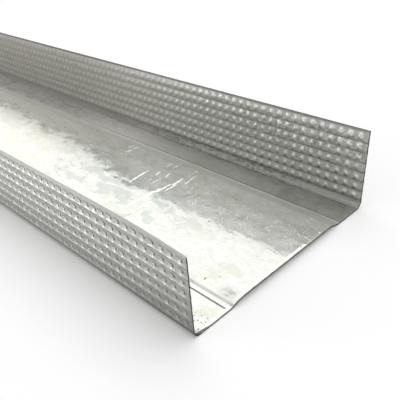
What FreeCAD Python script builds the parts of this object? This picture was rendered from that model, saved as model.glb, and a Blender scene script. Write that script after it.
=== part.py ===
# Drywall track: one strip of galvanised sheet steel, roll-formed into a shallow U.
# It lies on its web with both flanges up. X runs along it, Z is up, and all sizes are millimetres.
import FreeCAD, Part
import math
import os

# Stock sizes
LENGTH = 2438.4  # as sold, eight feet
WEB_WIDTH = 92.075  # over the outer faces of the two flanges
FLANGE_HEIGHT = 31.75  # from the floor to the flange tips
SHEET = 0.48  # thickness of the strip
BEND_RADIUS = 2.3  # inside radius where a flange meets the web

# Web: a raised panel between two strips that lie on the floor. Each side of the panel slopes down to a low ridge.
# Radii are at the middle of the sheet.
PANEL_RISE = 1.5  # underside of the panel above the floor
SLOPE_INSET = 14.9  # from the outer face of a flange to the foot of the slope
SLOPE_ANGLE = 21.0  # degrees
SHOULDER_RADIUS = 10.0  # from the panel into the slope
FOOT_RADIUS = 2.0  # from the slope into the strip
RIDGE_HEIGHT = 0.15  # of the guide ridge that follows the foot of the slope
RIDGE_RADIUS = 1.2  # of each curve in the ridge

# Flanges: long ribs that bulge into the channel, with a narrow groove between each two
RIB_PITCH = 4.0
RIB_DEPTH = 0.25
RIB_GROOVE = 0.8  # width of the groove between two ribs
LIP = 0.8  # plain strip at the flange tip


def run(length):
    """A straight stretch of the strip."""
    return length, 0.0, 0.0


def turn(angle, radius):
    """A bend of the strip, to the left for a positive angle in radians, at the middle of the sheet."""
    return 0.0, angle, radius


def bead_moves():
    """From the edge of the panel outwards: down the slope, then over the ridge to the strip on the floor."""
    slope = math.radians(SLOPE_ANGLE)
    lean = math.acos(1 - RIDGE_HEIGHT / (2 * RIDGE_RADIUS))
    curves = SHOULDER_RADIUS + FOOT_RADIUS
    straight = (PANEL_RISE - curves * (1 - math.cos(slope))) / math.sin(slope)
    moves = [
        turn(-slope, SHOULDER_RADIUS),
        run(straight),
        turn(slope, FOOT_RADIUS),
        turn(lean, RIDGE_RADIUS),
        turn(-2 * lean, RIDGE_RADIUS),
        turn(lean, RIDGE_RADIUS),
    ]
    slope_width = curves * math.sin(slope) + straight * math.cos(slope)
    ridge_width = 4 * RIDGE_RADIUS * math.sin(lean)
    return moves, slope_width, ridge_width


def rib_moves(count):
    """Ribs going up a flange, each an arc that bulges inwards, with half a groove before it and after it."""
    lean = 2 * math.atan(2 * RIB_DEPTH / RIB_PITCH)
    groove_radius = RIB_GROOVE / 2 / math.sin(lean)
    rib_radius = (RIB_PITCH - RIB_GROOVE) / 2 / math.sin(lean)
    moves = [turn(lean, groove_radius)]
    for i in range(count):
        moves.append(turn(-2 * lean, rib_radius))
        last = i == count - 1
        moves.append(turn(lean if last else 2 * lean, groove_radius))
    return moves


def half_section():
    """The strip's moves from the middle of the panel to the tip of the flange on the +Y side."""
    bend = BEND_RADIUS + SHEET / 2
    bead, slope_width, ridge_width = bead_moves()
    foot_at = WEB_WIDTH / 2 - SLOPE_INSET
    panel_half = foot_at - slope_width
    strip = WEB_WIDTH / 2 - SHEET / 2 - bend - foot_at - ridge_width
    flange = FLANGE_HEIGHT - SHEET / 2 - bend
    ribs = int((flange - LIP) // RIB_PITCH)
    plain = flange - LIP - ribs * RIB_PITCH
    moves = [*bead, run(strip), turn(math.pi / 2, bend), run(plain), *rib_moves(ribs), run(LIP)]
    return panel_half, moves


def face_edges(moves, y, z, heading, offset):
    """Edges of one face of the sheet, offset to the left of a path that starts at y, z along heading."""
    x = -LENGTH / 2
    edges = []

    def at(distance, direction):
        return FreeCAD.Vector(x, y + distance * math.cos(direction), z + distance * math.sin(direction))

    for length, angle, radius in moves:
        left = heading + math.pi / 2
        if angle:
            side = math.copysign(1, angle)
            centre = at(side * radius, left)
            reach = radius - side * offset
            spokes = [left + share * angle for share in (0, 0.5, 1)]
            arc = [
                centre - FreeCAD.Vector(0, side * reach * math.cos(spoke), side * reach * math.sin(spoke))
                for spoke in spokes
            ]
            edges.append(Part.Arc(*arc).toShape())
            heading += angle
            y = centre.y - side * radius * math.cos(spokes[-1])
            z = centre.z - side * radius * math.sin(spokes[-1])
        else:
            start = at(offset, left)
            along = FreeCAD.Vector(0, length * math.cos(heading), length * math.sin(heading))
            edges.append(Part.LineSegment(start, start + along).toShape())
            y += along.y
            z += along.z
    return edges


def track():
    """The whole strip: its section from one flange tip to the other, drawn out along X."""
    panel_half, half = half_section()
    moves = [*reversed(half), run(2 * panel_half), *half]
    tip = (SHEET / 2 - WEB_WIDTH / 2, FLANGE_HEIGHT)
    inner = face_edges(moves, *tip, -math.pi / 2, SHEET / 2)
    outer = face_edges(moves, *tip, -math.pi / 2, -SHEET / 2)
    tips = [
        Part.LineSegment(inner[0].Vertexes[0].Point, outer[0].Vertexes[0].Point).toShape(),
        Part.LineSegment(inner[-1].Vertexes[-1].Point, outer[-1].Vertexes[-1].Point).toShape(),
    ]
    outline = Part.Wire([*inner, tips[1], *reversed(outer), tips[0]])
    return Part.Face(outline).extrude(FreeCAD.Vector(LENGTH, 0, 0))


os.makedirs("parts", exist_ok=True)
track().exportStep("parts/track.step")
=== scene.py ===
# Drywall track, dressed: a roll-formed strip of galvanised steel with knurled flanges, lying on its web.
# Metres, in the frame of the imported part: X along the track, Y across it, Z up.
from math import acos, ceil, copysign, cos, pi, radians, sin

import bpy
import numpy as np
from mathutils import Matrix, Vector
from mathutils.geometry import delaunay_2d_cdt


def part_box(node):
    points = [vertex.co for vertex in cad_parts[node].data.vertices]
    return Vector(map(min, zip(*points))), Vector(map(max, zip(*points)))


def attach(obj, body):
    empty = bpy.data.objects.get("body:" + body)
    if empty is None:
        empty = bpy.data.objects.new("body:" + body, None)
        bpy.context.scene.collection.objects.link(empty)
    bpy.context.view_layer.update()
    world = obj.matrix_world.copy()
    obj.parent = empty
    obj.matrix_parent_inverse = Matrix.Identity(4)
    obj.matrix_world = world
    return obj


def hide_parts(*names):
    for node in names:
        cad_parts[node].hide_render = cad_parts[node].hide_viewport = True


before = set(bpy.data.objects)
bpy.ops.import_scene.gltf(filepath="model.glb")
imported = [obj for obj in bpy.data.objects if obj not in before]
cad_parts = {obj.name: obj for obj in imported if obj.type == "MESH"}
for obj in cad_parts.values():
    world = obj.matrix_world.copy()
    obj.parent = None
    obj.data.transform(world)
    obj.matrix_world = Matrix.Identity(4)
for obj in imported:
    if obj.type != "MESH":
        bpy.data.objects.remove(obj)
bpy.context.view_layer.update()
LOW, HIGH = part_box("track")

MM = 0.001
LENGTH = HIGH[0] - LOW[0]
WEB_WIDTH = HIGH[1] - LOW[1]
FLANGE_HEIGHT = HIGH[2] - LOW[2]
END = HIGH[0]  # the cut end that the camera looks at

# Section of the strip, with radii at the middle of the sheet apart from the bend's
SHEET = 0.48 * MM
BEND_RADIUS = 2.3 * MM  # inside, where a flange meets the web
PANEL_RISE = 1.5 * MM
# Each bead. Its inset is from the flange's outer face to the foot of the slope. The panel's edge rises at the
# angle of its lift before it slopes down, and its ridge falls away outwards at the angle of its fall.
NEAR_BEAD = dict(
    inset=15.94 * MM,
    lift=0.0,
    slope=radians(21),
    shoulder_radius=16.5 * MM,
    foot_radius=4.0 * MM,
    ridge_height=0.32 * MM,
    ridge_radius=1.2 * MM,
    fall=radians(4),
)
FAR_BEAD = dict(
    inset=14.9 * MM,
    lift=radians(5),
    slope=radians(17),
    shoulder_radius=3.0 * MM,
    foot_radius=1.5 * MM,
    ridge_height=0.08 * MM,
    ridge_radius=1.2 * MM,
    fall=radians(5),
)
RIB_PITCH = 4.0 * MM
RIB_FLANKS = radians(24), radians(6)  # lean of a rib's short lower flank and of its long upper one
RIB_CURVES = 0.8 * MM, 1.2 * MM  # radii of the groove between two ribs and of a rib's crest
LIP = 0.8 * MM  # plain strip at a flange's tip

# Knurl: one dimple to each square of a rib, pressed in from the outside
DIMPLE_PITCH = 3.9 * MM
DIMPLE_RADIUS = 1.85 * MM
DIMPLE_SPREAD = (0.75, 1.15)  # the depths vary by these shares
DIMPLE_SEED = 4
# Depth of the wide dent and of its point, half the length of the point's straight middle, and how far the
# point reaches past that and up: on the outer face, then on the inner face
PIT = dict(wide=0.24 * MM, point=0.28 * MM, straight=0.5 * MM, point_length=1.2 * MM, point_height=0.75 * MM)
BUMP = dict(wide=0.28 * MM, point=0.4 * MM, straight=0.0, point_length=0.95 * MM, point_height=0.95 * MM)
END_MARGIN = 1.25 * MM  # from the cut end to the first square
FINE_NEAR = 125 * MM  # length of finely meshed knurl from the cut end, on the near flange's outer face
FINE_FAR = 230 * MM  # the same on the far flange's inner face

# Cut end
ROLLOVER = 0.7 * MM  # length over which the shear drew the top edge down
ROLLOVER_DROP = 0.14 * MM
ROLLOVER_STEPS = (1.0, 0.66, 0.33, 0.0)  # where it has points, as shares of its length
FLATTENED = 2.4 * MM  # length over which the shear flattened the near ridge and the near flange's ribs
RIBS_LEFT = 0.35  # share of the ribs' depth left at the near flange's cut edge
FLARE = 0.8 * MM  # how far the corner of the near flange is knocked outwards
FLARE_LENGTH = 36 * MM
CRUSH = 0.7 * MM  # how far the same corner is knocked down
CRUSH_LENGTH = 22 * MM
KNOCK_CURVE = 1.5  # power by which both knocks fade out along the track
CRUSH_CURVE = 3  # and the second fades out down the flange

# Mesh
WEB_FIRST = 4 * MM  # from the cut end to the first of the web's close points
WEB_STEP = 8 * MM  # between those
WEB_CLOSE = 6  # how many there are along the web
WEB_STATIONS = 26  # how many points there are along the rest of it
TURN_STEP = radians(10)  # greatest angle between two points of a bend
RUN_STEP = 5 * MM  # greatest length between two points across the web
SHARP_ANGLE = radians(50)
SAME_PLACE = 1e-8  # points this close are one
ON_EDGE = 1e-7  # points this close to an edge of the strip lie on it
NO_AREA = 1e-14  # flat triangles smaller than this are left out


def run(length):
    """A straight stretch of the strip: its length, its turn and its radius."""
    return length, 0.0, 0.0


def turn(angle, radius):
    """A bend of the strip, to the left for a positive angle."""
    return abs(angle) * radius, angle, radius


def bead_moves(lift, slope, shoulder_radius, foot_radius, ridge_height, ridge_radius, fall):
    """From the edge of the panel outwards: down the slope, then over the ridge to the strip on the floor."""
    lean = acos(1 - ridge_height / (2 * ridge_radius))
    curves = shoulder_radius + foot_radius
    lifted = 2 * shoulder_radius * (1 - cos(lift))
    straight = (PANEL_RISE + lifted - curves * (1 - cos(slope))) / sin(slope)
    fall_run = (ridge_height - 2 * ridge_radius * (1 - cos(fall))) / sin(fall)
    moves = [
        *([turn(lift, shoulder_radius)] if lift else []),
        turn(-lift - slope, shoulder_radius),
        run(straight),
        turn(slope, foot_radius),
        turn(lean, ridge_radius),
        turn(-lean - fall, ridge_radius),
        run(fall_run),
        turn(fall, ridge_radius),
    ]
    slope_width = 2 * shoulder_radius * sin(lift) + curves * sin(slope) + straight * cos(slope)
    ridge_width = 2 * ridge_radius * (sin(lean) + sin(fall)) + fall_run * cos(fall)
    return moves, slope_width, ridge_width


def rib_moves(count):
    """Ribs going up a flange, each bulging inwards, with half a groove before it and after it."""
    low, high = RIB_FLANKS
    groove, crest = RIB_CURVES
    inwards = (groove + crest) * (cos(low) - cos(high))
    rise = RIB_PITCH - (groove + crest) * (sin(low) + sin(high))
    below = (inwards * cos(high) + rise * sin(high)) / sin(low + high)
    above = (rise * sin(low) - inwards * cos(low)) / sin(low + high)
    rib = [turn(low, groove), run(below), turn(-low - high, crest), run(above), turn(high, groove)]
    return rib * count


def half_section(inset, **bead_sizes):
    """Moves from the middle of the panel to the lowest rib, the moves of the ribs, and the number of ribs."""
    bend = BEND_RADIUS + SHEET / 2
    bead, slope_width, ridge_width = bead_moves(**bead_sizes)
    foot_at = WEB_WIDTH / 2 - inset
    strip = WEB_WIDTH / 2 - SHEET / 2 - bend - foot_at - ridge_width
    flange = FLANGE_HEIGHT - SHEET / 2 - bend
    ribs = int((flange - LIP) // RIB_PITCH)
    plain = flange - LIP - ribs * RIB_PITCH
    moves = [run(foot_at - slope_width), *bead, run(strip), turn(pi / 2, bend), run(plain)]
    return moves, rib_moves(ribs), ribs


NEAR_HALF, FLANGE_RIBS, RIBS = half_section(**NEAR_BEAD)
FAR_HALF = half_section(**FAR_BEAD)[0]
SECTION = [run(LIP), *reversed(FLANGE_RIBS), *reversed(NEAR_HALF), *FAR_HALF, *FLANGE_RIBS, run(LIP)]
STOPS = np.concatenate([[0], np.cumsum([move[0] for move in SECTION])])  # where each move starts and ends
STRIP_WIDTH = STOPS[-1]
RIB_MOVES = len(FLANGE_RIBS) // RIBS
NEAR_LINES = STOPS[1 + RIB_MOVES * np.arange(RIBS + 1)]  # grooves of the near flange
FAR_LINES = STRIP_WIDTH - NEAR_LINES[::-1]  # and of the far one
ROW_HEIGHT = NEAR_LINES[1] - NEAR_LINES[0]
RIDGE_MOVES = 4
BEFORE_RIDGE = len(FLANGE_RIBS) + 4  # the near lip, the ribs, the plain part, the bend and the strip
NEAR_RIDGE = STOPS[BEFORE_RIDGE], STOPS[BEFORE_RIDGE + RIDGE_MOVES]
# Attribute: how many knurl squares a point is from the cut end and the lip, and 1 where they are coarse
SQUARES = "knurl_squares"


def formed(along):
    """Middle of the sheet at places along the section, as y, z and the heading there."""
    y, z, heading = LOW[1] + SHEET / 2, FLANGE_HEIGHT, -pi / 2
    out = np.zeros((len(along), 3))
    at_move = np.clip(np.searchsorted(STOPS, along, side="right") - 1, 0, len(SECTION) - 1)
    for i, (length, angle, radius) in enumerate(SECTION):
        here = at_move == i
        places = np.append(along[here] - STOPS[i], length)
        if angle:
            side = copysign(1, angle)
            way = heading + side * places / radius
            ys = y + side * radius * (np.sin(way) - sin(heading))
            zs = z - side * radius * (np.cos(way) - cos(heading))
        else:
            way = np.full(len(places), heading)
            ys = y + places * cos(heading)
            zs = z + places * sin(heading)
        out[here] = np.stack([ys, zs, way], axis=1)[:-1]
        y, z, heading = ys[-1], zs[-1], way[-1]
    return out


def zipped(first, second):
    """Triangles between two rows of points, given their places along the rows, whatever their spacing."""
    i, j, triangles, n = 0, 0, [], len(first)
    while i < n - 1 or j < len(second) - 1:
        if j == len(second) - 1 or (i < n - 1 and first[i + 1] <= second[j + 1] + SAME_PLACE):
            triangles.append((i, i + 1, n + j))
            i += 1
        else:
            triangles.append((i, n + j + 1, n + j))
            j += 1
    return np.array(triangles)


class Pattern:
    """One face of the flat strip before it is formed: points (along X, along the section) and triangles."""

    def __init__(self):
        self.points, self.triangles, self.count = [], [], 0

    def add(self, points, triangles):
        self.points.append(np.asarray(points, float))
        self.triangles.append(np.asarray(triangles, int) + self.count)
        self.count += len(points)

    def strip(self, first, second, axis):
        """Triangles between two rows of points that run along one axis."""
        first, second = np.asarray(first), np.asarray(second)
        self.add(np.concatenate([first, second]), zipped(first[:, axis], second[:, axis]))

    def welded(self):
        """Points and triangles, all turned the same way, with points that coincide made one."""
        points, triangles = np.concatenate(self.points), np.concatenate(self.triangles)
        keys = np.round(points / SAME_PLACE).astype(np.int64)
        _, first, same = np.unique(keys, axis=0, return_index=True, return_inverse=True)
        points, triangles = points[first], same.reshape(-1)[triangles]
        a, b, c = (points[triangles[:, i]] for i in range(3))
        area = (b - a)[:, 0] * (c - a)[:, 1] - (b - a)[:, 1] * (c - a)[:, 0]
        triangles[area < 0] = triangles[area < 0][:, ::-1]
        return points, triangles[np.abs(area) > NO_AREA]


# Points of a knurl square, as shares of it: up its sides and, where it is fine, also across it near its lower
# and upper edges
FINE_SIDE = (-0.5, -0.41, -0.33, -0.2, 0.0, 0.25, 0.5)
FINE_EDGES = (-0.5, -0.41, -0.33, 0.5)
COARSE_SIDE = (-0.5, 0.0, 0.5)
ACROSS = (-0.25, 0.0, 0.25)
RINGS = ((0.3 * MM, 6), (0.62 * MM, 8), (1.0 * MM, 8), (1.4 * MM, 10), (1.8 * MM, 12))  # radius, and points
MERGE = 1e-6  # points this close are one


def square_template(left, right, edges):
    """A knurl square of side 1 about the origin, as points and triangles.

    It has the given points on its sides and, unless edges is empty, rings of points and rows near its edges.
    """
    points = [(-0.5, v) for v in left] + [(0.5, v) for v in right] + [(0.0, 0.0)]
    if edges:
        points += [(u, v) for u in ACROSS for v in edges]
        for radius, count in RINGS:
            reach = radius / DIMPLE_PITCH
            angles = [2 * pi * (i + 0.5) / count for i in range(count)]
            points += [(reach * cos(angle), reach * sin(angle)) for angle in angles]
    found = delaunay_2d_cdt([Vector(p) for p in points], [], [], 0, MERGE)
    return np.array([tuple(v) for v in found[0]]), np.array([f for f in found[2] if len(f) == 3])


COLUMNS = int((LENGTH - END_MARGIN) // DIMPLE_PITCH)
COLUMN_EDGES = END - END_MARGIN - DIMPLE_PITCH * np.arange(COLUMNS, -1, -1)
END_STEPS = END - ROLLOVER * np.array(ROLLOVER_STEPS)


def knurl(pattern, row_lines, fine, up):
    """Add one flange's knurl to a pattern, and give the places along X of the points on its long edges.

    The section runs up the flange where up is 1, and down it where up is -1.
    """
    fine_from = COLUMNS - int(fine / DIMPLE_PITCH)
    fine_side = sorted(up * v for v in FINE_SIDE)
    fine_edges = [up * v for v in FINE_EDGES]
    kinds = [
        (np.arange(0, fine_from), COARSE_SIDE, COARSE_SIDE, ()),
        (np.arange(fine_from, min(fine_from + 1, COLUMNS)), COARSE_SIDE, fine_side, fine_edges),
        (np.arange(fine_from + 1, COLUMNS), fine_side, fine_side, fine_edges),
    ]
    last_side = fine_side if fine else COARSE_SIDE
    for low, high in zip(row_lines[:-1], row_lines[1:]):
        middle, height = (low + high) / 2, high - low
        for span, *sides in kinds:
            shape, triangles = square_template(*sides)
            centres = (COLUMN_EDGES[span] + COLUMN_EDGES[span + 1]) / 2
            x = centres[:, None] + shape[None, :, 0] * DIMPLE_PITCH
            s = np.broadcast_to(middle + shape[None, :, 1] * height, x.shape)
            steps = np.arange(len(centres))[:, None, None] * len(shape)
            pattern.add(np.stack([x, s], axis=2).reshape(-1, 2), (triangles[None] + steps).reshape(-1, 3))
        for places, side in (
            ((LOW[0], COLUMN_EDGES[0]), COARSE_SIDE),
            ((COLUMN_EDGES[-1], *END_STEPS), last_side),
        ):
            for before, after in zip(places[:-1], places[1:]):
                rows = [[(x, middle + v * height) for v in side] for x in (before, after)]
                pattern.strip(*rows, 1)
    fine_columns = COLUMN_EDGES[fine_from:-1]
    inside = (fine_columns[:, None] + (0.5 + np.array(ACROSS)) * DIMPLE_PITCH).reshape(-1)
    return np.sort(np.concatenate([[LOW[0]], COLUMN_EDGES, inside, END_STEPS]))


def web_stations():
    """Places along X where the web has points, which are closest by the cut end."""
    close = END - WEB_FIRST - np.arange(WEB_CLOSE) * WEB_STEP
    rest = np.linspace(LOW[0], close[-1], WEB_STATIONS)
    flattened = END - FLATTENED * np.array([1, 0.5])
    return np.sort(np.concatenate([close[:-1], rest, END_STEPS, flattened]))


def web_lines():
    """Places along the section where the web has points, between the lowest grooves of the two flanges."""
    first, last = len(FLANGE_RIBS) + 1, len(SECTION) - len(FLANGE_RIBS) - 1
    lines = []
    for i in range(first, last):
        length, angle, _ = SECTION[i]
        pieces = max(1, ceil(abs(angle) / TURN_STEP), ceil(length / RUN_STEP))
        lines.extend(STOPS[i] + length * np.arange(pieces) / pieces)
    return np.array([*lines, STOPS[last]])


def face_pattern(fine_near, fine_far):
    """A whole face of the strip as a flat pattern."""
    pattern = Pattern()
    stations, lines = web_stations(), web_lines()

    def join(first, low, second, high):
        pattern.strip([(x, low) for x in first], [(x, high) for x in second], 0)

    near_places = knurl(pattern, NEAR_LINES, fine_near, -1)
    far_places = knurl(pattern, FAR_LINES, fine_far, 1)
    join(stations, 0.0, near_places, NEAR_LINES[0])
    join(near_places, lines[0], stations, lines[1])
    for low, high in zip(lines[1:-2], lines[2:-1]):
        join(stations, low, stations, high)
    join(stations, lines[-2], far_places, lines[-1])
    join(far_places, FAR_LINES[-1], stations, STRIP_WIDTH)
    return pattern.welded()


DIMPLE_SHARES = np.random.default_rng(DIMPLE_SEED).uniform(*DIMPLE_SPREAD, (2, RIBS, COLUMNS))


def swell(reach):
    """A smooth hump: 1 in the middle, 0 from a reach of 1."""
    return (1 + np.cos(pi * np.clip(reach, 0, 1))) / 2


def dimples(points, wide, point, straight, point_length, point_height):
    """How far the knurl pushes each point of the flat strip into the channel."""
    push = np.zeros(len(points))
    first = END - END_MARGIN - DIMPLE_PITCH / 2
    column = np.clip(np.round((first - points[:, 0]) / DIMPLE_PITCH), 0, COLUMNS - 1).astype(int)
    dx = points[:, 0] - (first - column * DIMPLE_PITCH)
    past = np.maximum(np.abs(dx) - straight, 0)
    for flange, lines in enumerate((NEAR_LINES, FAR_LINES)):
        for row, (low, high) in enumerate(zip(lines[:-1], lines[1:])):
            ds = points[:, 1] - (low + high) / 2
            hump = wide * swell(np.hypot(dx, ds) / DIMPLE_RADIUS)
            hump += point * swell(np.hypot(past / point_length, ds / point_height))
            push += DIMPLE_SHARES[flange, row, column] * hump
    return push


def handled(points):
    """Points with the knocks of handling: the near flange's cut corner is bent outwards and down."""
    x, y, z = points.T
    near = (y < LOW[1] + 2 * BEND_RADIUS) * np.clip(z / FLANGE_HEIGHT, 0, 1)
    out = points.copy()
    out[:, 1] -= FLARE * near * np.clip(1 - (END - x) / FLARE_LENGTH, 0, 1) ** KNOCK_CURVE
    out[:, 2] -= CRUSH * near**CRUSH_CURVE * np.clip(1 - (END - x) / CRUSH_LENGTH, 0, 1) ** KNOCK_CURVE
    return out


def face_points(points, offset, dimple):
    """A face's flat points, formed, with its dimples and its sheared edge."""
    y, z, heading = formed(points[:, 1]).T
    on_ridge = (points[:, 1] > NEAR_RIDGE[0]) & (points[:, 1] < NEAR_RIDGE[1])
    kept = np.where(on_ridge, np.clip((END - points[:, 0]) / FLATTENED, 0, 1), 1)
    z = SHEET / 2 + (z - SHEET / 2) * kept
    heading = heading * kept
    left = RIBS_LEFT + (1 - RIBS_LEFT) * np.clip((END - points[:, 0]) / FLATTENED, 0, 1)
    left = np.where(points[:, 1] < NEAR_LINES[-1], left, 1)
    plane = LOW[1] + SHEET / 2
    y = plane + (y - plane) * left
    heading = np.where(left < 1, (heading + pi / 2) * left - pi / 2, heading)
    drop = np.clip((points[:, 0] - END) / ROLLOVER + 1, 0, 1) ** 2 * ROLLOVER_DROP
    reach = offset + dimples(points, **dimple) - (drop if offset > 0 else 0)
    return np.stack([points[:, 0], y - reach * np.sin(heading), z + reach * np.cos(heading)], axis=1)


def coarseness(points, fine_near, fine_far):
    """1 where the squares of the knurl have few triangles, 0 where they are finely meshed."""
    fine = np.where(points[:, 1] < STRIP_WIDTH / 2, fine_near, fine_far)
    return np.clip((COLUMN_EDGES[-1] - points[:, 0] - fine) / DIMPLE_PITCH + 1, 0, 1)


def rim(inner, outer):
    """Triangles that close the strip's edges between its faces: those at the ends, then those at the tips."""
    groups = []
    for axis, values in ((0, (LOW[0], END)), (1, (0.0, STRIP_WIDTH))):
        triangles = []
        for value in values:
            rows = []
            for points in (inner, outer):
                on_edge = np.flatnonzero(np.abs(points[:, axis] - value) < ON_EDGE)
                rows.append(on_edge[np.argsort(points[on_edge, 1 - axis])])
            corners = zipped(inner[rows[0], 1 - axis], outer[rows[1], 1 - axis])
            corners = np.concatenate([rows[0], rows[1] + len(inner)])[corners]
            triangles.append(corners if (value == values[0]) == (axis == 0) else corners[:, ::-1])
        groups.append(np.concatenate(triangles))
    return groups


# Map of the strip for its baked finish: each face unrolled and cut into lengths, one above the other
MAP_NAME = "OFBake"
MAP_CUTS = 3
MAP_GAP = 5 * MM
MAP_EDGE = 1 * MM  # the strip's edges lie this far off the faces and are this wide
MAP_ROW = STRIP_WIDTH + MAP_GAP
MAP_SIDE = 2 * MAP_CUTS * MAP_ROW


def map_places(flat, outer, at_ends, at_tips):
    """Places on the map of the triangles' corners, which are given flat and as on the outer face or not.

    The triangles at the strip's ends and tips lie off the faces.
    """
    cut_length = LENGTH / MAP_CUTS
    cut = np.clip((flat[:, :, 0].mean(axis=1) - LOW[0]) // cut_length, 0, MAP_CUTS - 1)
    places = flat - (LOW[0], 0)
    places[:, :, 0] -= cut[:, None] * cut_length
    places[:, :, 1] += (2 * cut + outer.all(axis=1))[:, None] * MAP_ROW
    reach = MAP_EDGE * (1 + outer)
    places[at_ends, :, 0] += (np.sign(flat[:, :, 0] - END + LENGTH / 2) * reach)[at_ends]
    places[at_tips, :, 1] += (np.sign(flat[:, :, 1] - STRIP_WIDTH / 2) * reach)[at_tips]
    return (places + ((MAP_SIDE - cut_length) / 2, MAP_GAP / 2)) / MAP_SIDE


def track_mesh():
    """Both faces of the formed strip and the cut edge all round, as one closed mesh."""
    inner, inner_triangles = face_pattern(0, FINE_FAR)
    outer, outer_triangles = face_pattern(FINE_NEAR, 0)
    ends, tips = rim(inner, outer)
    points = np.concatenate([face_points(inner, SHEET / 2, BUMP), face_points(outer, -SHEET / 2, PIT)])
    parts = [inner_triangles, outer_triangles[:, ::-1] + len(inner), ends, tips]
    corners = np.concatenate(parts)
    mesh = bpy.data.meshes.new("track_steel")
    mesh.from_pydata(handled(points).tolist(), [], corners.tolist())
    slots = np.repeat([0, 0, 1, 2], [len(part) for part in parts])  # faces, ends and tips
    mesh.polygons.foreach_set("material_index", slots)
    mesh.shade_smooth()
    flat = np.concatenate([inner, outer])
    from_tip = np.minimum(flat[:, 1], STRIP_WIDTH - flat[:, 1])
    coarse = np.concatenate([coarseness(inner, 0, FINE_FAR), coarseness(outer, FINE_NEAR, 0)])
    columns, rows = (COLUMN_EDGES[-1] - flat[:, 0]) / DIMPLE_PITCH, (from_tip - LIP) / ROW_HEIGHT
    squares = np.column_stack([columns, rows, coarse])
    mesh.attributes.new(SQUARES, "FLOAT_VECTOR", "POINT").data.foreach_set("vector", squares.ravel())
    places = map_places(flat[corners], corners >= len(inner), slots == 1, slots == 2)
    mesh.uv_layers.new(name=MAP_NAME).data.foreach_set("uv", places.ravel())
    mesh.set_sharp_from_angle(angle=SHARP_ANGLE)
    mesh.update()
    return mesh


class Value:
    """A number that a node gives, with the arithmetic that adds more nodes."""

    def __init__(self, nodes, socket):
        self.nodes, self.socket = nodes, socket

    def __add__(self, other):
        return self.nodes.math("ADD", self, other)

    def __sub__(self, other):
        return self.nodes.math("SUBTRACT", self, other)

    def __rsub__(self, other):
        return self.nodes.math("SUBTRACT", other, self)

    def __mul__(self, other):
        return self.nodes.math("MULTIPLY", self, other)

    def __lt__(self, other):
        return self.nodes.math("LESS_THAN", self, other)

    def __gt__(self, other):
        return self.nodes.math("GREATER_THAN", self, other)

    def __abs__(self):
        return self.nodes.math("ABSOLUTE", self)


class Nodes:
    """A node tree, with a short method for each kind of node that the finishes and the backdrop use."""

    def __init__(self, tree):
        self.tree = tree

    def feed(self, socket, value):
        """Link a socket, or set its value."""
        source = value.socket if isinstance(value, Value) else value
        if isinstance(source, bpy.types.NodeSocket):
            self.tree.links.new(source, socket)
        else:
            socket.default_value = source

    def add(self, kind, inputs, **settings):
        node = self.tree.nodes.new("ShaderNode" + kind)
        for key, value in settings.items():
            setattr(node, key, value)
        for key, value in inputs.items():
            self.feed(node.inputs[key], value)
        return node

    def math(self, operation, first, second=0.0):
        return Value(self, self.add("Math", {0: first, 1: second}, operation=operation).outputs[0])

    def most(self, *values):
        """The greatest of some values."""
        result = values[0]
        for value in values[1:]:
            result = self.math("MAXIMUM", result, value)
        return result

    def vector(self, operation, first, second=(0, 0, 0)):
        return self.add("VectorMath", {0: first, 1: second}, operation=operation).outputs[0]

    def length(self, vector):
        return Value(self, self.add("VectorMath", {0: vector}, operation="LENGTH").outputs["Value"])

    def parts(self, vector):
        return [Value(self, part) for part in self.add("SeparateXYZ", {0: vector}).outputs]

    def joined(self, *parts):
        """A vector from its parts."""
        return self.add("CombineXYZ", dict(enumerate(parts))).outputs[0]

    def ramp(self, value, low, high, first=0.0, last=1.0):
        """A smooth step of a value, from first at low to last at high."""
        inputs = {"Value": value, "From Min": low, "From Max": high, "To Min": first, "To Max": last}
        return Value(self, self.add("MapRange", inputs, interpolation_type="SMOOTHSTEP").outputs["Result"])

    def mix(self, share, first, second):
        """A colour between two others."""
        return self.add("Mix", {0: share, 6: first, 7: second}, data_type="RGBA").outputs[2]

    def bump(self, height, distance, normal=None):
        """A bumped normal, for a height from 0 to 1 that stands for the given distance."""
        inputs = {"Height": height, "Distance": distance, "Strength": 1.0}
        if normal is not None:
            inputs["Normal"] = normal
        return self.add("Bump", inputs).outputs["Normal"]

    def whiten(self, share, plain, white, output):
        """Make a share of what the camera sees plain white, in a mirror or through glass too."""
        path = self.add("LightPath", {}).outputs
        seen = self.most(path["Is Camera Ray"], path["Is Glossy Ray"], path["Is Transmission Ray"])
        white = self.add(white, {"Color": (1, 1, 1, 1), "Strength": 1})
        both = self.add("MixShader", {0: share * seen, 1: plain.outputs[0], 2: white.outputs[0]})
        self.feed(self.tree.nodes[output].inputs["Surface"], both.outputs[0])


class Finish(Nodes):
    """A material with a Principled shader."""

    def __init__(self, name):
        self.material = bpy.data.materials.new(name)
        self.material.use_nodes = True
        super().__init__(self.material.node_tree)
        self.shader = self.tree.nodes["Principled BSDF"]

    def set(self, **values):
        """Values or links for the shader's sockets, with _ for the spaces in their names."""
        for name, value in values.items():
            self.feed(self.shader.inputs[name.replace("_", " ")], value)


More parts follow.
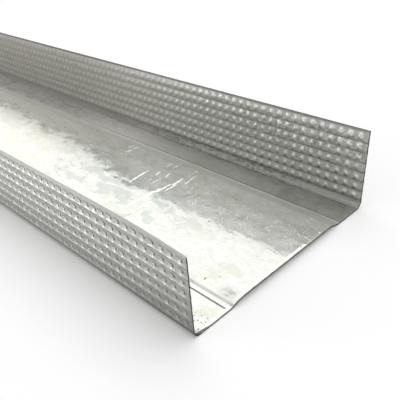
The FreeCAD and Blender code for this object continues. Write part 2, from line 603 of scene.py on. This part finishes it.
class Steel(Finish):
    """A finish that varies over the track. Its places are in millimetres from the middle of the cut end."""

    def __init__(self, name):
        super().__init__(name)
        coordinates = self.add("TexCoord", {}).outputs["Object"]
        moved = self.vector("SUBTRACT", coordinates, (END, 0, 0))
        self.place = self.vector("MULTIPLY", moved, (1 / MM, 1 / MM, 1 / MM))
        self.x, self.y, self.z = self.parts(self.place)

    def along(self, *step):
        """A smooth step along the track."""
        return self.ramp(self.x, *step)

    def across(self, *step):
        """A smooth step across the track."""
        return self.ramp(self.y, *step)

    def noise(self, size, detail=2.0, distortion=0.0):
        """Noise from 0 to 1 with lumps of the given size along X, Y and Z."""
        scaled = self.vector("DIVIDE", self.place, size)
        inputs = {"Vector": scaled, "Scale": 1.0, "Detail": detail, "Distortion": distortion}
        return Value(self, self.add("TexNoise", inputs).outputs[0])

    def cells(self, size, output="Color"):
        """Cells of the given size: a colour drawn for each, or the distance from its middle."""
        scaled = self.vector("DIVIDE", self.place, size)
        return self.add("TexVoronoi", {"Vector": scaled, "Scale": 1.0}).outputs[output]

    def reach(self, middle, half_sizes):
        """How far a place is from a middle, as a share of the half sizes."""
        return self.length(self.vector("DIVIDE", self.vector("SUBTRACT", self.place, middle), half_sizes))

    def specks(self, size, radius, chosen):
        """Small spots, one in each chosen cell of the given size: 1 on a spot."""
        spot = self.ramp(self.cells(size, "Distance"), radius, radius / 2)
        return spot * (self.parts(self.cells(size))[0] > 1 - chosen)

    def flecks(self, size, chosen):
        """Short straight strokes, one in each chosen cell and each at its own angle: 1 on a stroke."""
        scaled = self.vector("DIVIDE", self.place, (size, size, size))
        inputs = {"Vector": scaled, "Scale": 1.0, "Randomness": FLECK_SCATTER}
        cell = self.add("TexVoronoi", inputs, voronoi_dimensions="2D").outputs
        draw = self.parts(cell["Color"])
        from_middle = self.vector("SUBTRACT", scaled, cell["Position"])
        from_middle = self.vector("MULTIPLY", from_middle, (size, size, 0))
        turn_inputs = {"Vector": from_middle, "Angle": draw[0] * pi}
        turned = self.add("VectorRotate", turn_inputs, rotation_type="Z_AXIS").outputs[0]
        along, aside, _ = self.parts(turned)
        stroke = self.ramp(abs(aside), FLECK_WIDTH, FLECK_WIDTH / 2)
        return stroke * (abs(along) < draw[1] * (size * FLECK_REACH)) * (draw[2] < chosen)


ZINC = (0.62, 0.628, 0.588, 1)
DULL_ZINC = (0.54, 0.547, 0.51, 1)
STAIN = (0.53, 0.53, 0.465, 1)
WARM = (0.64, 0.62, 0.545, 1)
PALE = (0.85, 0.85, 0.83, 1)
# colour of soil and of painted shade
DIRT_AND_SHADE = (0.1, 0.098, 0.09, 1)
LEAF = (0.43, 0.465, 0.43, 1)
DUST = (0.78, 0.75, 0.71, 1)
METAL = 0.95

# Painted shade in each square of the knurl: how far from its middle towards the cut end and up, then half
# its length and height, as shares of the square
PIT_SHADE = (0.12, 0.07, 0.33, 0.23)
PIT_HOOK = (0.13, -0.08, 0.2, 0.2)  # the darkest painted shade, at the bottom of the pits
PIT_STROKE = (-0.14, 0.22, 0.34, 0.11)  # thinner painted shade above the pits
UNDER_BUMP = (-0.06, -0.34, 0.32, 0.2)

# Lines of painted shade along the web: place across it, half the width with its soft edges and without, and
# strength
CREASE_SHADE = (42.9, 0.6, 0.15, 1)  # in the far bend
FAR_FOOT_SHADE = (32.05, 0.4, 0.15, 0.65)
NEAR_FOOT_SHADE = (-28.2, 0.65, 0.4, 0.5)
NEAR_RIDGE_SHADE = (-30.65, 0.4, 0.15, 0.45)  # on the near ridge

# Marks on the web: place along it and across it, and half the length and width
WEB_STAINS = [(-11.5, -16.5, 6.5, 3.6), (-14.5, -21.5, 5, 3), (-4.5, -36.3, 4.5, 3)]
DARK_MARKS = [(-14.9, -25.1, 0.45, 0.8), (-11.8, -21.3, 0.3, 0.4)]
MARK_HEIGHT = 9  # half the height of a mark, so that the web's slopes stay within it
SMUDGE = (-4, -25.4, 2)
SMUDGE_SIZE = (7, 4.4, MARK_HEIGHT)

# Scratches across the web: place along it, two ends across it, and width
SCRATCHES = [
    (-84.2, 1.6, 12.6, 0.9),
    (-79.6, 12.7, 15.3, 0.9),
    (-78.4, 6.3, 9.1, 0.7),
    (-74.8, 7, 11.2, 0.6),
    (-80.9, 20.6, 23.7, 0.6),
    (-77.4, 21.1, 27, 0.6),
    (-74.4, 13.9, 16.9, 0.6),
    (-69.2, -13, -3.9, 1.2),
    (-68.9, -6.5, 4.8, 2),
    (-68.4, 4.9, 10.3, 0.8),
    (-66.3, 5.6, 11.9, 0.8),
    (-67.2, 11, 17, 1.3),
    (-63.7, 14.9, 22.5, 0.6),
    (-67, 20.7, 26.5, 0.6),
    (-64.3, -9.9, -4.2, 0.8),
    (-107.3, 18.9, 21.8, 1),
    (-109, 22.8, 26.6, 1),
    (-106, 22.9, 26.5, 1),
]
FLECK_WIDTH = 0.13  # half the width of a short stroke
FLECK_REACH = 0.42  # half the length of the longest stroke, as a share of its cell
FLECK_SCATTER = 0.6  # how far from the middle of its cell a stroke may lie

# How far the coat tips the light across the web
SCRATCH_LEAN = -0.12
FLECK_LEAN = -0.015
SPANGLE_LEAN = 0.004
MOTTLE_LEAN = 0.003
CROWN_BEFORE = -0.014  # on the near side of the panel's low crown
CROWN_PAST = (0.025, 0.008)  # on its far side, close to it and further on

# Heights of the coat's unevenness
WAVE = 0.03 * MM
ROLLER_LINE = 0.001 * MM
CRUST = 0.12 * MM


class Coat(Steel):
    """Bright zinc coat: cloudy, with a fine spangle, roller lines, stains, scratch marks and soil, and with
    painted shade in its hollows and creases and painted glints along its cut edge.

    A mask is 1 where its feature is at its strongest and 0 away from it.
    """

    def __init__(self, name):
        super().__init__(name)
        squares = self.add("Attribute", {}, attribute_name=SQUARES).outputs["Vector"]
        self.column, self.row, self.coarse = self.parts(squares)
        self.in_column = self.math("FRACT", self.column) - 0.5
        self.in_row = self.math("FRACT", self.row) - 0.5
        self.mask_places()
        self.clouds = self.noise((30, 14, 14), 4)
        self.patches = self.noise((6, 3.5, 3.5), 3, 0.6)
        self.mottle = self.noise((2.4, 1.3, 1.3), distortion=0.4)
        self.crust = self.noise((1.5, 1.2, 1.2), 3)
        self.past = self.past_crown()
        self.worn = self.ramp(self.past, 10, 4) * self.ramp(self.past, -2, 1) * self.panel
        self.worn = self.worn * self.along(-90, -40)
        self.strokes = self.short_strokes()
        # scratch marks, and painted highlights as pale glints along the cut edge
        self.scratches_and_glints = self.most(self.long_scratches(), self.edge_glints()) * self.upward
        self.scuffs_and_glints = self.most(self.strokes * 0.6, self.scratches_and_glints)
        self.dirt_and_shade = self.all_dirt_and_shade()

    def mask_places(self):
        """Masks of the track's faces and stretches."""
        from_middle = abs(self.y)
        facing = self.parts(self.add("NewGeometry", {}).outputs["Normal"])
        self.far = self.across(-1, 1)
        self.upward = self.ramp(facing[2], 0.5, 0.8)
        near_web = self.ramp(from_middle, 44, 42) * (1 - self.far)
        self.outward = self.ramp(facing[1] * self.math("SIGN", self.y), 0.1, 0.5) * (1 - near_web)
        self.inward = 1 - self.outward
        self.panel = self.ramp(from_middle, 29, 26) * self.upward
        self.slope = self.across(25, 27) * self.across(31.4, 30.6)
        self.strip = self.ramp(from_middle, 30.5, 33) * self.ramp(from_middle, 44, 43)
        self.bend = self.ramp(from_middle, 42.2, 43.6) * self.ramp(self.z, 4.2, 3)
        self.bend_inside = self.ramp(from_middle, 42.6, 43.4) * self.ramp(self.z, 4.4, 3.6) * self.inward
        self.flange = self.ramp(from_middle, 43.6, 44.6)
        self.in_rows = self.flange * self.ramp(self.row, 0.3, 0.5)
        self.in_knurl = (self.row > 0) * (self.row < RIBS)
        self.dust = self.along(-60, -190) * self.across(26, 30) * self.inward
        self.crusted = self.in_rows * self.far * self.inward * self.along(-110, -30)
        self.crusted = self.crusted * self.ramp(self.row, 5.5, 2, 0.25, 1)

    def mottled(self, first, last):
        """A value that changes in small lumps."""
        return self.ramp(self.mottle, 0.35, 0.6, first, last)

    def past_crown(self):
        """How far a place lies beyond the low crown that runs along the panel on a ragged line."""
        line = self.along(-145, -75, 11, 1) + self.along(-22, -8, 0, 1.2)
        line = line + self.along(-240, -150, 4, 0)
        line = line + self.along(-100, -80, 0, -1.5) * self.along(-36, -52)
        ragged = self.ramp(self.patches, 0.3, 0.7, -3, 3) * self.along(-70, -35, 1, 0.5)
        ragged = ragged + self.ramp(self.mottle, 0.3, 0.7, -1, 1)
        return self.y - (line + ragged)

    def short_strokes(self):
        """Short strokes all over the web, closer together where it is worn."""
        strokes = self.most(self.flecks(4.6, 1), self.flecks(3.1, 0.8), self.flecks(2.3, 0.9) * self.worn)
        cloudy = self.ramp(self.clouds, 0.35, 0.55, 0.3, 1)
        return strokes * cloudy * self.along(-110, -30, 0.35, 1) * self.upward

    def long_scratches(self):
        """The long scratch marks across the web, a little wavy and broken up."""
        wavy = self.x + self.ramp(self.noise((7, 5, 5), 0), 0.3, 0.7, -0.5, 0.5)
        mask = 0
        for at, first, last, width in SCRATCHES:
            past = self.most(abs(self.y - (first + last) / 2) - (last - first) / 2, 0)
            gap = self.length(self.joined(wavy - at, past))
            mask = self.most(self.ramp(gap, width / 2, width / 4), mask)
        return mask * self.ramp(self.noise((0.7, 1.8, 1.8), 1), 0.36, 0.48)

    def edge_glints(self):
        """Painted highlights: bright bits along the web's cut edge, which thin out towards the far side."""
        edge = self.along(-1.5, -1.1) * self.along(-0.4, -0.7) * self.across(24, 20)
        bits = self.noise((2, 1.6, 1.6), 1) + self.across(8, 15, 0.22, -0.06)
        return edge * self.ramp(bits, 0.5, 0.6)

    def spot(self, towards_end, up, length, height):
        """A spot at the same place in every square of the knurl."""
        away = self.joined(self.in_column + towards_end, self.in_row + up)
        return self.ramp(self.length(self.vector("DIVIDE", away, (length, height, 1))), 1, 0.45)

    def groove_shade(self):
        """Painted shade in the grooves between the ribs and under the bumps, fainter further along the far
        flange.
        """
        groove = self.ramp(self.math("PINGPONG", self.row, 0.5), 0.16, 0.02) * self.mottled(0.3, 0.65)
        under = self.spot(*UNDER_BUMP) * self.inward * self.mottled(0.15, 1)
        under = under * self.ramp(self.row, 2, 6, 0.55, 0.9)
        fainter = self.along(-40, -140, 0, 0.75) * self.far
        return self.most(groove, under) * self.in_rows * (1 - fainter)

    def pit_shade(self):
        """Painted shade in and above the pits of the outer faces, and on the upper half of each rib."""
        darkening = self.ramp(self.in_row, 0.05, -0.25) * self.along(-90, -20, 0.08, 0.22) * self.in_rows
        above = self.spot(*PIT_STROKE) * 0.55
        pit_darkening = self.most(self.spot(*PIT_SHADE), self.spot(*PIT_HOOK), above, darkening)
        pit_darkening = pit_darkening * self.outward * self.flange * self.ramp(self.row, 0, 0.02)
        return pit_darkening * self.along(-45, -10, 0.95, 0.8265)

    def flange_shade_and_dark_lip(self):
        """The outer faces darker low down, as painted shade, and darker by the cut end; and a dark edge
        inside the lip.
        """
        # painted shade: darker towards the bottom of the outer faces
        darkening = self.ramp(self.z, 24, 4, 0, 0.3) + self.ramp(self.z, 5, 2.5, 0, 0.3)
        darkening = darkening + self.along(-60, 0, 0, 0.2)
        lip = self.ramp(self.row, 0.02, -0.06, 0, 0.5) * self.inward * self.far
        return self.most(darkening * self.outward, lip)

    def shade_line(self, at, half_width, core, strength):
        """A line of painted shade along the track."""
        return self.ramp(abs(self.y - at), half_width, core, 0, strength)

    def bend_dirt_and_shade(self):
        """Darker in the far bend: soil smeared along it with jagged bits, and painted shade in the crease and
        in a line at the bead.
        """
        thinnest = self.along(-60, -120, 0.6, 0.8)
        smears = self.ramp(self.noise((9, 0.45, 0.45), 4), 0.38, 0.6, 1, thinnest)
        smears = smears * self.bend * self.along(-60, -140, 0.42, 0.22)
        bits = self.ramp(self.noise((2.2, 0.6, 0.6), 1), 0.54, 0.42, 0, 0.62) * self.bend_inside
        bits = bits * self.along(-170, -80) * self.along(-10, -40, 0.45, 1)
        lines = self.most(self.shade_line(*CREASE_SHADE) * self.mottled(0.75, 0.1), self.shade_line(*FAR_FOOT_SHADE))
        lines = lines * self.along(-200, -110) * self.upward
        return self.most(smears, bits, lines) * self.far

    def strip_darkening_and_bead_shade(self):
        """The far strip darker by the cut end and far from it, and painted shade in the lines along the near
        bead.
        """
        darkening = self.along(-20, -60, 0.3, 0) + self.along(-110, -190, 0, 0.3)
        darkening = darkening * self.strip * self.ramp(self.patches, 0.35, 0.6, 1.1, 0.5) * self.far
        foot = self.shade_line(*NEAR_FOOT_SHADE) * self.ramp(self.mottle, 0.35, 0.65, 0.65, 1)
        line = self.shade_line(*NEAR_RIDGE_SHADE) * self.along(-2, -4)
        return self.most(darkening, self.most(foot, line) * self.upward)

    def burr_shade(self):
        """Painted shade: a dark rim at the cut end for the burr's shadow, wider at the near corner for the
        shadow under the bend.
        """
        wedge = self.across(-38, -43, 0, 0.7) * self.upward
        return self.ramp(self.mottle * 0.35 + self.x + wedge, -0.2, 0.05, 0, 0.92)

    def from_mark(self, along, aside, length, width):
        return self.reach((along, aside, 0), (length, width, MARK_HEIGHT))

    def web_marks(self):
        """Specks and strokes of soil in the near corner, stray specks, dark marks and a smudge."""
        crumbs = self.most(self.specks((1.2, 1.1, 1.1), 0.36, 0.75), self.flecks(2.7, 0.6) * 0.8)
        crumbs = crumbs * self.along(-28, -3) * self.across(-34, -41)
        marks = self.most(crumbs, self.specks((6, 5, 5), 0.09, 0.3))
        for mark in DARK_MARKS:
            marks = self.most(marks, self.ramp(self.from_mark(*mark), 1, 0.4))
        smudge = self.ramp(self.reach(SMUDGE, SMUDGE_SIZE), 1, 0)
        smudge = smudge * self.ramp(self.mottle, 0.35, 0.65, 0.12, 0.65)
        return self.most(marks, smudge) * self.upward * 0.85

    def all_dirt_and_shade(self):
        """How dark the coat is: soil and crust, and painted shade in grooves, pits, creases, low down and at
        the burr.
        """
        return self.most(
            self.groove_shade(),
            self.pit_shade(),
            self.flange_shade_and_dark_lip(),
            self.bend_dirt_and_shade(),
            self.strip_darkening_and_bead_shade(),
            self.burr_shade(),
            self.web_marks(),
            self.crusted * self.ramp(self.crust, 0.46, 0.36, 0, 0.4),
        )

    def stains(self):
        """Tan stains of the web, with ragged edges."""
        stains = self.ramp(self.noise((16, 10, 10), 3, 0.5), 0.5, 0.66, 0, 0.7)
        edge = self.ramp(self.noise((3.5, 2.2, 2.2), 3), 0.3, 0.7, -0.35, 0.35)
        for mark in WEB_STAINS:
            stains = self.most(stains, self.ramp(self.from_mark(*mark) + edge, 1, 0.55))
        return stains * self.upward

    def leaves(self):
        """Leaf-shaped grey patches of the panel's coat, most of them in one stretch and before the crown."""
        more = self.along(-125, -105, 0, 0.035) * self.along(-45, -60)
        leaves = self.ramp(self.noise((9, 5, 5), 4, 0.4) + more, 0.56, 0.59) * self.panel
        leaves = leaves * self.along(-25, -60, 0.1, 0.8) * self.along(-110, -150, 1, 0.35)
        return leaves * self.ramp(self.past, -1, 3, 1, 0.35)

    def colour(self):
        layers = [
            (self.stains(), STAIN),
            (self.crusted * self.ramp(self.crust, 0.5, 0.62, 0, 0.6), PALE),
            (self.leaves(), LEAF),
            (self.dust * 0.5, DUST),
            # painted light: the far slope is paler so that its shade is lighter
            (self.slope * 0.5, PALE),
            (self.panel * self.along(-90, -170, 0, 0.5), WARM),
            (self.worn * 0.3, PALE),
            (self.scuffs_and_glints, PALE),
            (self.dirt_and_shade, DIRT_AND_SHADE),
        ]
        colour = self.mix(self.ramp(self.mottle, 0.3, 0.7), DULL_ZINC, ZINC)
        for share, layer in layers:
            colour = self.mix(share, colour, layer)
        return colour

    def roughness(self):
        """Smoothest on the near half of the web, and rougher where the coat is worn, scuffed, soiled or
        painted darker.
        """
        rough = self.most(self.across(2, 30, 0.12, 0.36), self.across(-42, -45, 0.12, 0.36))
        rough = rough + self.across(43, 45, 0, 0.04) + self.ramp(self.patches, 0.3, 0.7, -0.02, 0.04)
        for mask, more in (
            (self.outward, -0.12),
            (self.scuffs_and_glints, 0.2),
            (self.worn, 0.06),
            (self.bend, 0.15),
            (self.slope, 0.28),
            (self.dust, 0.56),
            (self.dirt_and_shade, 0.2),
        ):
            rough = rough + mask * more
        return rough

    def dimple_height(self, wide, point, straight, point_length, point_height):
        """Height of a dimple in its square of the knurl, in millimetres."""
        aside, above = self.in_column * DIMPLE_PITCH, self.in_row * ROW_HEIGHT
        hump = self.ramp(self.length(self.joined(aside, above)), DIMPLE_RADIUS, 0, 0, wide / MM)
        from_point = self.joined(self.most(abs(aside) - straight, 0), above)
        reach = self.length(self.vector("DIVIDE", from_point, (point_length, point_height, 1)))
        return hump + self.ramp(reach, 1, 0, 0, point / MM)

    def relief(self):
        """Normal of the coat's unevenness, and of the dimples where the mesh has few triangles for them."""
        normal = self.bump(self.noise((40, 25, 25)), WAVE)
        normal = self.bump(self.noise((160, 0.5, 0.5)), ROLLER_LINE, normal)
        normal = self.bump(self.crust * self.flange * self.along(-90, -20, 0.4, 1), CRUST, normal)
        dimples = self.dimple_height(**BUMP) * self.inward - self.dimple_height(**PIT) * self.outward
        return self.bump(dimples * self.in_knurl * self.coarse, MM, normal)

    def lean(self):
        """How far the coat tips the light across the web: at the crown, in each grain, and on scratch marks
        and painted glints.
        """
        sharp = self.past * self.along(-120, -60, 0.35, 1)
        crown = self.ramp(sharp, -1.2, 1.2, CROWN_BEFORE, self.ramp(self.past, 1.5, 11, *CROWN_PAST))
        grain = self.parts(self.cells((4.5, 3.2, 3.2)))[0]
        lean = crown * self.panel + self.ramp(grain, 0, 1, -SPANGLE_LEAN, SPANGLE_LEAN)
        lean = lean + self.ramp(self.mottle, 0.3, 0.7, -MOTTLE_LEAN, MOTTLE_LEAN)
        lean = lean + self.scratches_and_glints * SCRATCH_LEAN + self.strokes * FLECK_LEAN
        return lean * self.upward

    def flank_lift(self):
        """How far the ribs' lower flanks tip the light up on the outside: most under the pits and high up."""
        flank = self.ramp(self.in_row, 0.2, 0.32) * self.ramp(self.in_row, 0.48, 0.43)
        flank = flank * self.ramp(abs(self.in_column), 0.5, 0.15, 0.3, 1) * self.mottled(0.4, 1)
        return flank * self.outward * self.in_knurl * self.ramp(self.z, 4, 18, 0.02, 0.07)

    def normal(self):
        tilt = self.joined(0, self.lean(), self.flank_lift())
        return self.vector("NORMALIZE", self.vector("ADD", self.relief(), tilt))


def galvanised():
    coat = Coat("galvanised_steel")
    coat.set(Base_Color=coat.colour(), Roughness=coat.roughness(), Metallic=METAL, Normal=coat.normal())
    return coat.material


TORN = ((0.01, 0.01, 0.009, 1), (0.06, 0.058, 0.054, 1))  # darkest and lightest colours of the sheared ends
SLIT = ((0.05, 0.05, 0.048, 1), (0.1, 0.099, 0.095, 1))  # and of the slit edges


def cut_end():
    """The sheared ends: dark, torn steel."""
    finish = Steel("sheared_steel")
    colour = finish.mix(finish.ramp(finish.noise((0.4, 0.25, 0.4), 3), 0.4, 0.7), *TORN)
    finish.set(Base_Color=colour, Roughness=0.5, Metallic=0.6, Specular_IOR_Level=0.2)
    return finish.material


def slit_edge():
    """The long edges at the flange tips, slit before the strip was formed, and paler on the near flange."""
    finish = Steel("slit_steel")
    dark = finish.mix(finish.ramp(finish.noise((6, 0.2, 0.2), 3), 0.35, 0.65), *SLIT)
    colour = finish.mix(finish.across(1, -1, 0, 0.6), dark, DULL_ZINC)
    finish.set(Base_Color=colour, Roughness=0.4, Metallic=METAL)
    return finish.material


def add_object(name, data):
    thing = bpy.data.objects.new(name, data)
    bpy.context.collection.objects.link(thing)
    return thing


def add_track():
    piece = add_object("track_steel", track_mesh())
    for material in (galvanised(), cut_end(), slit_edge()):
        piece.data.materials.append(material)
    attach(piece, "root")
    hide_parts("track")


# Camera, from the edges and the dimples of the track in the 400 pixel photograph
PHOTO_SIDE = 400
FOCAL_PIXELS = 544.5
CENTRE_PIXEL = (147.3, 220.2)
CAMERA_FROM_END = Vector((83.04, -123.97, 119.86)) * MM  # from the middle of the cut end, at floor level
CAMERA_RIGHT = Vector((0.66945, 0.73588, -0.10153))
CAMERA_UP = Vector((-0.35609, 0.43784, 0.82553))
SENSOR = 36.0
CLIP_NEAR, CLIP_FAR = 0.01, 100


def add_camera():
    lens = bpy.data.cameras.new("camera")
    lens.sensor_width = SENSOR
    lens.lens = FOCAL_PIXELS * SENSOR / PHOTO_SIDE
    lens.shift_x = 0.5 - CENTRE_PIXEL[0] / PHOTO_SIDE
    lens.shift_y = CENTRE_PIXEL[1] / PHOTO_SIDE - 0.5
    lens.clip_start = CLIP_NEAR
    lens.clip_end = CLIP_FAR
    camera = add_object("camera", lens)
    back = CAMERA_RIGHT.cross(CAMERA_UP)
    place = Matrix((CAMERA_RIGHT, CAMERA_UP, back)).transposed().to_4x4()
    place.translation = Vector((END, 0, 0)) + CAMERA_FROM_END
    camera.matrix_world = place
    bpy.context.scene.camera = camera


FLOOR_REACH = 30.0
FLOOR_COLOUR = (0.98, 0.98, 0.98, 1)
FLOOR_FADE = (0.0, 0.16)  # how far from the track the floor starts to turn white, and is white
FLOOR_GLOW = 0.1  # share of plain white in the floor beside the track, which keeps its shadow pale


def add_floor():
    """A pale floor that keeps the track's shadow and turns into the white backdrop further out."""
    mesh = bpy.data.meshes.new("floor")
    sides = ((-1, -1), (1, -1), (1, 1), (-1, 1))
    mesh.from_pydata([(x * FLOOR_REACH, y * FLOOR_REACH, 0) for x, y in sides], [], [(0, 1, 2, 3)])
    floor = add_object("floor", mesh)
    finish = Finish("floor_white")
    finish.set(Base_Color=FLOOR_COLOUR, Roughness=1.0, Specular_IOR_Level=0.0)
    from_middle = finish.vector("ABSOLUTE", finish.add("TexCoord", {}).outputs["Object"])
    past = finish.vector("SUBTRACT", from_middle, (LENGTH / 2, WEB_WIDTH / 2, 0))
    away = finish.length(finish.vector("MAXIMUM", past))
    share = finish.ramp(away, *FLOOR_FADE, FLOOR_GLOW, 1.0)
    finish.whiten(share, finish.shader, "Emission", "Material Output")
    mesh.materials.append(finish.material)


# Light: an even room, a wide softbox overhead, a small one in front and a low strip light along the near side
ROOM_LIGHT = 0.62
HORIZON_FADE = (0.4, 0.2)  # the backdrop is white from the second height down, as a share of straight up
CEILING = 3.5
CEILING_Y = (-0.5, 3.69)  # near and far edges of the overhead softbox
CEILING_FROM, CEILING_TO = END - 11.0, END + 2.0
CEILING_STRENGTH = 0.9
FRONT_PLACE = (END - 1.9, -2.1, 1.1)
FRONT_SIZE = (2.0, 1.0)
FRONT_STRENGTH = 0.8
STRIP_PLACE = (END - 2.2, -2.4, 0.2)
STRIP_SIZE = (8.0, 0.36)
STRIP_STRENGTH = 2.8
AIM = (END - 0.1, 0, 0.01)  # what the front softbox and the strip light are turned to
LAMP_POWER = 4  # watts for each square metre of a softbox and each unit of its strength


def add_panel(name, place, aim, size, strength):
    """A softbox at place, turned towards aim."""
    light = bpy.data.lights.new(name, "AREA")
    light.shape = "RECTANGLE"
    light.size, light.size_y = size
    light.energy = strength * LAMP_POWER * size[0] * size[1]
    lamp = add_object(name, light)
    lamp.location = place
    lamp.rotation_euler = (Vector(aim) - Vector(place)).to_track_quat("-Z", "Y").to_euler()


def add_light():
    world = bpy.data.worlds.new("studio")
    bpy.context.scene.world = world
    world.use_nodes = True
    backdrop = Nodes(world.node_tree)
    room = backdrop.tree.nodes["Background"]
    backdrop.feed(room.inputs["Color"], (ROOM_LIGHT, ROOM_LIGHT, ROOM_LIGHT, 1))
    height = backdrop.parts(backdrop.add("TexCoord", {}).outputs["Generated"])[2]
    backdrop.whiten(backdrop.ramp(height, *HORIZON_FADE), room, "Background", "World Output")
    middle = ((CEILING_FROM + CEILING_TO) / 2, sum(CEILING_Y) / 2)
    size = (CEILING_TO - CEILING_FROM, CEILING_Y[1] - CEILING_Y[0])
    add_panel("overhead_softbox", (*middle, CEILING), (*middle, 0), size, CEILING_STRENGTH)
    add_panel("front_softbox", FRONT_PLACE, AIM, FRONT_SIZE, FRONT_STRENGTH)
    add_panel("low_striplight", STRIP_PLACE, AIM, STRIP_SIZE, STRIP_STRENGTH)


add_track()
add_floor()
add_light()
add_camera()
bpy.context.scene.view_settings.view_transform = "Standard"
